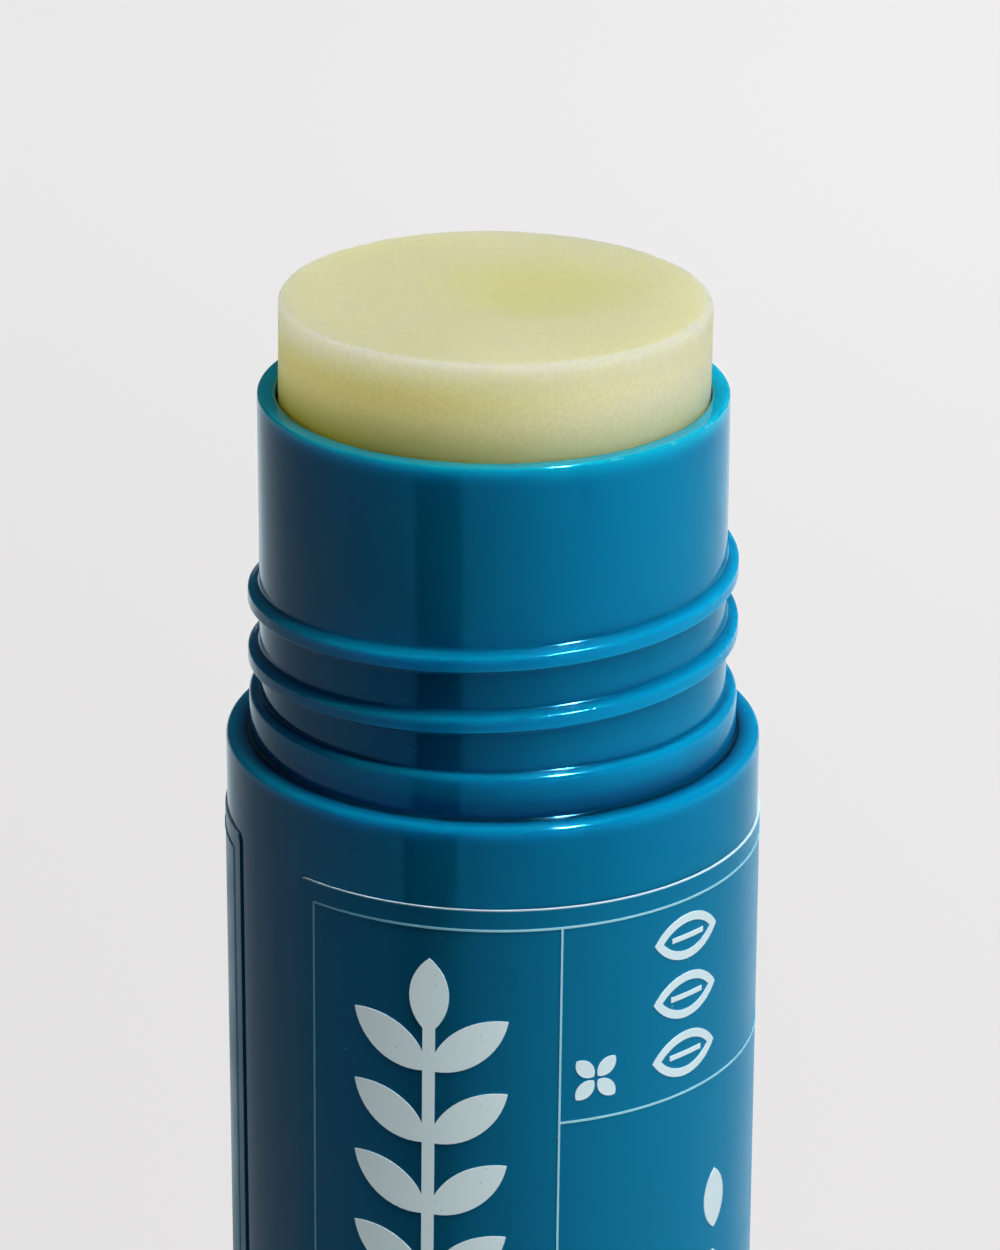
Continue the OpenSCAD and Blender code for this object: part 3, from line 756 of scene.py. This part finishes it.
def shell_material(name, gloss, tone, skin, specks, corners):
    """Blue moulded plastic with painted shade in its corners and a painted glow where light enters its
    edges. Gloss is its two ends of roughness.
    """
    material, tree, shader = new_material(name, {
        "IOR": 1.49, "Specular Tint": BLUE_GLINT, "Subsurface Weight": 1.0, "Subsurface Scale": 2.6 * MM,
        "Subsurface Radius": (0.15, 0.8, 1.0),
    })
    surface = placed(tree, skin, Peel_Scale=1300.0, Grain_Scale=12000.0, Turned_Lines=0.35)
    dust = placed(tree, specks, Scale=1400.0, Size=0.08, Share=0.02)["Mask"]
    deep, light = (tuple(part * tone for part in blue) for blue in SHELL_BLUES)
    colour = mixed(tree, surface["Blotch"], deep, light)
    # Painted shade darkens its corners and a painted glow lightens its outer edges, where less and more
    # light comes out of them
    corner = placed(tree, corners, Reach=CORNER_REACH, Edge_Width=EDGE_WIDTH)
    shaded = stepped(tree, corner["Open"], 0.4, 0.95, 0.95, 0.0)
    colour = mixed(tree, shaded, colour, SHELL_CORNER_SHADE)
    glowing = maths(tree, "MULTIPLY", corner["Edge"], 1.5, clamp=True)
    colour = mixed(tree, glowing, colour, SHELL_EDGE_GLOW)
    colour = mixed(tree, maths(tree, "MULTIPLY", dust, 0.5), colour, SHELL_DUST)
    # Painted shade makes the foot of the collar deep blue, where it meets the shoulder
    place = object_place(tree)
    x, y, z = axes_of(tree, place)
    from_axis = axis_distance(tree, place)
    low = stepped(tree, z, SHOULDER_Z + 0.1 * MM, SHOULDER_Z + 1.5 * MM, 0.85, 0.0)
    near = stepped(tree, from_axis, COLLAR_R + 0.05 * MM, COLLAR_R + 0.45 * MM, 1.0, 0.0)
    colour = mixed(tree, maths(tree, "MULTIPLY", low, near), colour, SHELL_FOOT_SHADE)
    # The rim's outer edge is chipped, with pale nicks that are kept mostly to the lit right side as a
    # painted glint
    out = stepped(tree, from_axis, NECK_R - 0.12 * MM, NECK_R - 0.04 * MM)
    high = stepped(tree, z, RIM_Z - 0.16 * MM, RIM_Z - 0.07 * MM)
    side = stepped(tree, x, 3 * MM, 7 * MM, 0.04, 1.0)
    nicks = placed(tree, specks, Scale=2600.0, Size=0.5, Share=0.45)["Mask"]
    border = maths(tree, "MULTIPLY", out, high)
    scuff_and_glint = maths(tree, "MULTIPLY", border, maths(tree, "MULTIPLY", side, nicks))
    colour = mixed(tree, maths(tree, "MULTIPLY", scuff_and_glint, 0.5), colour, SHELL_SCUFF_AND_GLINT)
    # A painted glow lightens the top of the neck's thin wall, where light from the wax comes through
    rim = stepped(tree, z, RIM_Z - 1.1 * MM, RIM_Z - 0.05 * MM, 0.0, 0.6)
    colour = mixed(tree, rim, colour, SHELL_RIM_GLOW)
    tree.links.new(colour, shader.inputs["Base Color"])
    rough = stepped(tree, surface["Blotch"], 0.3, 0.7, *gloss)
    tree.links.new(maths(tree, "MULTIPLY_ADD", dust, 0.3, rough), shader.inputs["Roughness"])
    # The thread was turned into its mould by hand, so its ridges glitter
    proud = stepped(tree, from_axis, NECK_R + 0.1 * MM, NECK_R + 0.3 * MM)
    above = stepped(tree, z, SHOULDER_Z + COLLAR_H, SHOULDER_Z + COLLAR_H + 0.5 * MM)
    ridge = maths(tree, "MULTIPLY", proud, above)
    tooth = textured(tree, place, Scale=5500.0, Detail=1.0, Roughness=0.5)
    rugged = maths(tree, "MULTIPLY", maths(tree, "MULTIPLY", ridge, 4.0), tooth.outputs["Fac"])
    bumped(tree, shader, maths(tree, "ADD", surface["Height"], rugged), 0.5, 0.01 * MM)
    return material


def natural_material(skin):
    """Uncoloured moulded plastic, milky and slightly waxy."""
    material, tree, shader = new_material("uncoloured_moulding", {
        "IOR": 1.49, "Subsurface Weight": 0.5, "Subsurface Scale": 2 * MM,
        "Subsurface Radius": (1.0, 0.95, 0.85),
    })
    surface = placed(tree, skin, Peel_Scale=700.0, Grain_Scale=8000.0, Turned_Lines=0.2)
    colour = mixed(tree, surface["Blotch"], *NATURAL_WHITES)
    tree.links.new(colour, shader.inputs["Base Color"])
    tree.links.new(stepped(tree, surface["Blotch"], 0.3, 0.7, 0.36, 0.5), shader.inputs["Roughness"])
    bumped(tree, shader, surface["Height"], 0.3, 0.02 * MM)
    return material


def film_material(skin, specks):
    """Satin teal film whose pale cut top border is partly the white of the film and partly a painted
    highlight.
    """
    material, tree, shader = new_material("printed_film", {"IOR": 1.5, "Specular Tint": BLUE_GLINT})
    surface = placed(tree, skin, Peel_Scale=500.0, Grain_Scale=16000.0, Turned_Lines=0.0)
    dust = placed(tree, specks, Scale=1300.0, Size=0.08, Share=0.04)["Mask"]
    colour = mixed(tree, surface["Blotch"], *FILM_BLUES)
    colour = mixed(tree, maths(tree, "MULTIPLY", dust, 0.45), colour, FILM_DUST)
    level = film_level(tree, object_place(tree))
    # The top border is lightened: the film's white cut edge with a painted highlight along it
    border = stepped(tree, level, FILM_TOP - 0.07 * MM, FILM_TOP - 0.05 * MM)
    colour = mixed(tree, border, colour, FILM_BORDER_HIGHLIGHT)
    tree.links.new(colour, shader.inputs["Base Color"])
    tree.links.new(stepped(tree, surface["Blotch"], 0.3, 0.7, 0.26, 0.36), shader.inputs["Roughness"])
    bumped(tree, shader, surface["Height"], 0.2, 0.01 * MM)
    return material


def film_level(tree, place):
    """The height of a point on the film, measured along its leaning frame."""
    x, y, z = axes_of(tree, place)
    return maths(tree, "MULTIPLY_ADD", x, math.tan(FILM_LEAN), z)


def rule_mask(tree, place):
    """1 on the thin rules of the print and 0 on its leaves."""
    x, y, z = axes_of(tree, place)
    level = film_level(tree, place)
    direction = maths(tree, "ARCTAN2", x, maths(tree, "MULTIPLY", y, -1.0))
    # The rules below the uppermost one run only on the right of the leaves
    right = maths(tree, "GREATER_THAN", x, 2.5 * MM)
    mask = maths(tree, "COMPARE", level, RULE_LEVELS[0], 0.3 * MM)
    for height in RULE_LEVELS[1:]:
        near = maths(tree, "MULTIPLY", maths(tree, "COMPARE", level, height, 0.3 * MM), right)
        mask = maths(tree, "ADD", near, mask, clamp=True)
    for degrees in RULE_DIRECTIONS:
        near = maths(tree, "COMPARE", direction, math.radians(degrees), math.radians(1.2))
        mask = maths(tree, "ADD", near, mask, clamp=True)
    return mask


def ink_material(name, skin, specks, thin, thick):
    """Matt printing ink with tiny pinholes, thinner on the fine rules, which are darker to the left as
    painted shade.
    """
    material, tree, shader = new_material(name, {"IOR": 1.46})
    surface = placed(tree, skin, Peel_Scale=2500.0, Grain_Scale=20000.0, Turned_Lines=0.0)
    holes = placed(tree, specks, Scale=3800.0, Size=0.16, Share=0.1)["Mask"]
    colour = mixed(tree, surface["Blotch"], thin, thick)
    place = object_place(tree)
    x, y, z = axes_of(tree, place)
    # Painted shade darkens the fine rules towards the left, the shaded side
    fine = mixed(tree, stepped(tree, x, -8 * MM, 3 * MM), *RULE_INKS_SHADE_TO_LIGHT)
    colour = mixed(tree, rule_mask(tree, place), colour, fine)
    colour = mixed(tree, maths(tree, "MULTIPLY", holes, 0.35), colour, PINHOLE)
    tree.links.new(colour, shader.inputs["Base Color"])
    tree.links.new(stepped(tree, surface["Blotch"], 0.3, 0.7, 0.4, 0.52), shader.inputs["Roughness"])
    bumped(tree, shader, surface["Height"], 0.2, 0.01 * MM)
    return material


def wax_material(skin, specks):
    """Pale yellow wax that light enters and spreads in, deeper yellow where it is dished."""
    material, tree, shader = new_material("pale_wax", {
        "IOR": 1.44, "Specular IOR Level": 0.4, "Subsurface Weight": 1.0, "Subsurface Scale": 9 * MM,
        "Subsurface Radius": (1.0, 0.92, 0.35),
    })
    surface = placed(tree, skin, Peel_Scale=1400.0, Grain_Scale=7000.0, Turned_Lines=0.0)
    place = object_place(tree)
    x, y, z = axes_of(tree, place)
    dished = add(tree, "ShaderNodeMapping", {
        "Location": (-SINK_AT.x / SINK_REACH.x, -SINK_AT.y / SINK_REACH.y, 0.0),
        "Scale": (1 / SINK_REACH.x, 1 / SINK_REACH.y, 0.0),
    })
    tree.links.new(place, dished.inputs["Vector"])
    inside = stepped(tree, axis_distance(tree, dished.outputs["Vector"]), 1.15, 0.3)
    top = mixed(tree, surface["Blotch"], *WAX_TOPS)
    top = mixed(tree, maths(tree, "MULTIPLY", inside, 0.8), top, WAX_DISHED)
    # Painted shade makes its side deeper towards the rim and on the left. Under its edge it is pale and
    # rough, partly a frosted skin and partly painted light, palest on the left
    lit = stepped(tree, z, RIM_Z - 0.2 * MM, RIM_Z + 2.2 * MM)
    below = stepped(tree, z, RIM_Z - 9 * MM, RIM_Z - 0.5 * MM)
    pale = stepped(tree, x, -9 * MM, 8 * MM)
    side = mixed(tree, below, WAX_LOW, mixed(tree, pale, *WAX_SHADED_AT_RIM))
    side = mixed(tree, lit, side, mixed(tree, pale, *WAX_SIDES_SHADED_TO_LIT))
    under_edge = stepped(tree, z, BALM_TOP - 2.1 * MM, BALM_TOP - 0.5 * MM)
    side = mixed(tree, under_edge, side, mixed(tree, pale, *WAX_EDGES_FROST_AND_GLOW))
    outer = stepped(tree, axis_distance(tree, place), BALM_R - 0.4 * MM, BALM_R - 0.15 * MM)
    colour = mixed(tree, outer, top, side)
    # It is a mass of tiny crystals
    crystals = textured(tree, place, Scale=5200.0, Detail=2.0, Roughness=0.7)
    grain = stepped(tree, crystals.outputs["Fac"], 0.3, 0.7, 0.0, 0.16)
    colour = mixed(tree, grain, colour, WAX_CRYSTAL)
    crumbs = placed(tree, specks, Scale=700.0, Size=0.09, Share=0.06)["Mask"]
    colour = mixed(tree, maths(tree, "MULTIPLY", crumbs, 0.25), colour, WAX_CRUMB)
    tree.links.new(colour, shader.inputs["Base Color"])
    tree.links.new(stepped(tree, surface["Blotch"], 0.3, 0.7, 0.55, 0.68), shader.inputs["Roughness"])
    bumped(tree, shader, surface["Height"], 0.4, 0.03 * MM)
    return material


def dress(node, material):
    """Gives a CAD node its finish."""
    mesh = frame["nodes"][node].data
    mesh.materials.clear()
    mesh.materials.append(material)


# Stage, lights and camera


def add_lamp(name, azimuth, elevation, size, level, glossy=False, diffuse=True, only=()):
    """A soft square lamp aimed at the neck. Level is the brightness it gives a white surface that faces it.

    Its azimuth runs from the front to the right, and both angles are in degrees. It may light only some
    pieces, and nothing else then stands in its way if it lies below, where it does the work of a table.
    """
    aim = Vector((0, 0, SHOULDER_Z))
    a, e = math.radians(azimuth), math.radians(elevation)
    way = Vector((math.sin(a) * math.cos(e), -math.cos(a) * math.cos(e), math.sin(e)))
    data = bpy.data.lights.new(name, "AREA")
    data.shape = "SQUARE"
    data.size = size
    data.energy = level * (math.pi * LAMP_DISTANCE) ** 2
    lamp = bpy.data.objects.new(name, data)
    turn = way.to_track_quat("Z", "Y").to_matrix().to_4x4()
    lamp.matrix_world = Matrix.Translation(aim + way * LAMP_DISTANCE) @ turn
    lamp.visible_glossy = glossy
    lamp.visible_diffuse = diffuse
    lamp.visible_camera = False
    bpy.context.scene.collection.objects.link(lamp)
    if only:
        lit = bpy.data.collections.new(name + "_lights")
        for piece in only:
            lit.objects.link(piece)
        lamp.light_linking.receiver_collection = lit
        if elevation < 0:
            lamp.light_linking.blocker_collection = lit


def make_lights(moulded, wax, print_pieces, floor):
    """A lamp high on the right and broad panels round the tube, weaker where the photograph is darker."""
    add_lamp("high_lamp", 50, 68, 0.12, 0.40)
    add_lamp("top_panel", 60, 76, 0.30, 0.30, only=moulded)
    add_lamp("side_panel", 82, 26, 0.40, 0.60, only=moulded)
    add_lamp("table_panel", 82, -24, 0.40, 0.85, only=moulded)
    add_lamp("pale_side_panel", 75, 26, 0.40, 0.62, only=[wax, floor, *print_pieces])
    add_lamp("print_panel", 0, 10, 0.45, 0.43, only=print_pieces)
    add_lamp("front_panel", -10, 10, 0.45, 0.41, only=[wax])
    add_lamp("left_panel", -118, 15, 0.40, 0.52, only=[wax])
    add_lamp("back_panel", 180, 25, 0.40, 0.35, only=[wax, *print_pieces, *moulded])
    add_lamp("glint", 48, 60, 0.06, 12.0, glossy=True, diffuse=False, only=moulded)


def make_world():
    """Pale to the camera, and a weak cool light on the object."""
    world = bpy.data.worlds.new("studio")
    world.use_nodes = True
    tree = world.node_tree
    tree.nodes.clear()
    seen = add(tree, "ShaderNodeLightPath").outputs["Is Camera Ray"]
    pale = add(tree, "ShaderNodeBackground", {"Color": (0.85, 0.855, 0.865, 1), "Strength": 1.0})
    weak = add(tree, "ShaderNodeBackground", {"Color": (0.45, 0.75, 1.0, 1), "Strength": 0.075})
    both = add(tree, "ShaderNodeMixShader")
    tree.links.new(seen, both.inputs["Fac"])
    tree.links.new(weak.outputs[0], both.inputs[1])
    tree.links.new(pale.outputs[0], both.inputs[2])
    tree.links.new(both.outputs[0], add(tree, "ShaderNodeOutputWorld").inputs["Surface"])
    bpy.context.scene.world = world


def floor_material():
    """Pale to the camera with the object's shadow on it, dark to soft light and set in reflections."""
    material = bpy.data.materials.new("pale_floor")
    material.use_nodes = True
    tree = material.node_tree
    tree.nodes.clear()
    path = add(tree, "ShaderNodeLightPath").outputs
    place = object_place(tree)
    x, y, z = axes_of(tree, place)
    # In reflections
    angle = maths(tree, "ARCTAN2", x, maths(tree, "MULTIPLY", y, -1.0))
    ramp = add(tree, "ShaderNodeValToRGB")
    tree.links.new(maths(tree, "MULTIPLY_ADD", angle, 1 / math.tau, 0.5), ramp.inputs["Fac"])
    stops = ramp.color_ramp.elements
    stops.remove(stops[1])
    for number, (degrees, bright) in enumerate(FLOOR_MIRRORED):
        stop = stops[0] if number == 0 else stops.new(degrees / 360 + 0.5)
        stop.position = degrees / 360 + 0.5
        stop.color = (*(bright * part for part in MIRROR_TINT), 1)
    mirrored = add(tree, "ShaderNodeEmission")
    tree.links.new(ramp.outputs["Color"], mirrored.inputs["Color"])
    dim = add(tree, "ShaderNodeBsdfDiffuse", {"Color": (0.12, 0.12, 0.125, 1)})
    unseen = blended(tree, path["Is Glossy Ray"], dim, mirrored)
    # As the camera sees it, painted shade makes it a little darker in front and to the left
    back = stepped(tree, y, 0.04, 0.34)
    right = stepped(tree, x, -0.06, 0.06)
    share = maths(tree, "MULTIPLY_ADD", back, 0.7, maths(tree, "MULTIPLY", right, 0.3))
    pale = mixed(tree, share, FLOOR_SHADED, FLOOR_LIT)
    glow = add(tree, "ShaderNodeEmission")
    lit = add(tree, "ShaderNodeBsdfDiffuse")
    tree.links.new(pale, glow.inputs["Color"])
    tree.links.new(pale, lit.inputs["Color"])
    seen = blended(tree, FLOOR_GLOW, lit, glow)
    shown = maths(tree, "MAXIMUM", path["Is Camera Ray"], path["Is Transmission Ray"])
    final = blended(tree, shown, unseen, seen)
    tree.links.new(final.outputs[0], add(tree, "ShaderNodeOutputMaterial").inputs["Surface"])
    return material


def blended(tree, share, first, second):
    """A shader between two others. The share is a number or a socket."""
    node = add(tree, "ShaderNodeMixShader")
    if isinstance(share, float):
        node.inputs["Fac"].default_value = share
    else:
        tree.links.new(share, node.inputs["Fac"])
    tree.links.new(first.outputs[0], node.inputs[1])
    tree.links.new(second.outputs[0], node.inputs[2])
    return node


def make_floor():
    """A level floor that the tube stands on."""
    bm = bmesh.new()
    bmesh.ops.create_grid(bm, x_segments=8, y_segments=8, size=3)
    mesh = bpy.data.meshes.new("floor")
    bm.to_mesh(mesh)
    bm.free()
    mesh.materials.append(floor_material())
    floor = bpy.data.objects.new("floor", mesh)
    bpy.context.scene.collection.objects.link(floor)
    return floor


def make_camera():
    """The camera of the photograph: above the tube, looking down at the neck."""
    data = bpy.data.cameras.new("camera")
    data.sensor_width = 36
    data.lens = data.sensor_width * FOCAL_PX / PHOTO_H
    data.clip_start = 0.01
    data.clip_end = 20
    level = Vector((math.sin(CAMERA_YAW), math.cos(CAMERA_YAW), 0))
    right = Vector((math.cos(CAMERA_YAW), -math.sin(CAMERA_YAW), 0))
    forward = level * math.cos(CAMERA_PITCH) - Vector((0, 0, math.sin(CAMERA_PITCH)))
    up = right.cross(forward)
    rolled_right = right * math.cos(CAMERA_ROLL) + up * math.sin(CAMERA_ROLL)
    rolled_up = up * math.cos(CAMERA_ROLL) - right * math.sin(CAMERA_ROLL)
    turn = Matrix((rolled_right, rolled_up, -forward)).transposed().to_4x4()
    camera = bpy.data.objects.new("camera", data)
    camera.matrix_world = Matrix.Translation(CAMERA_AT) @ turn
    bpy.context.scene.collection.objects.link(camera)
    bpy.context.scene.camera = camera


moulded_skin = skin_group()
scattered_specks = speck_group()
painted_corner_shade_and_edge_glow = corner_group()
effects = (moulded_skin, scattered_specks, painted_corner_shade_and_edge_glow)
glossy_blue = shell_material("glossy_blue_moulding", (0.06, 0.10), 1.0, *effects)
satin_blue = shell_material("satin_blue_moulding", (0.06, 0.09), 0.88, *effects)
uncoloured = natural_material(moulded_skin)

moulded = [make_barrel(glossy_blue), make_sleeve(satin_blue), make_dial(satin_blue)]
moulded += [frame["nodes"][node] for node in ("label", "spindle", "elevator")]
wax_stick = make_balm(wax_material(moulded_skin, scattered_specks))
dress("spindle", uncoloured)
dress("elevator", uncoloured)
dress("label", film_material(moulded_skin, scattered_specks))
white_ink = ink_material("white_ink", moulded_skin, scattered_specks, *WHITE_INKS)
grey_ink = ink_material("pale_grey_ink", moulded_skin, scattered_specks, *GREY_INKS)
dress("label_rules", white_ink)
dress("label_motif", grey_ink)

floor = make_floor()
make_lights(moulded, wax_stick, [frame["nodes"]["label_rules"], frame["nodes"]["label_motif"]], floor)
make_world()
make_camera()
bpy.context.scene.view_settings.view_transform = "Standard"
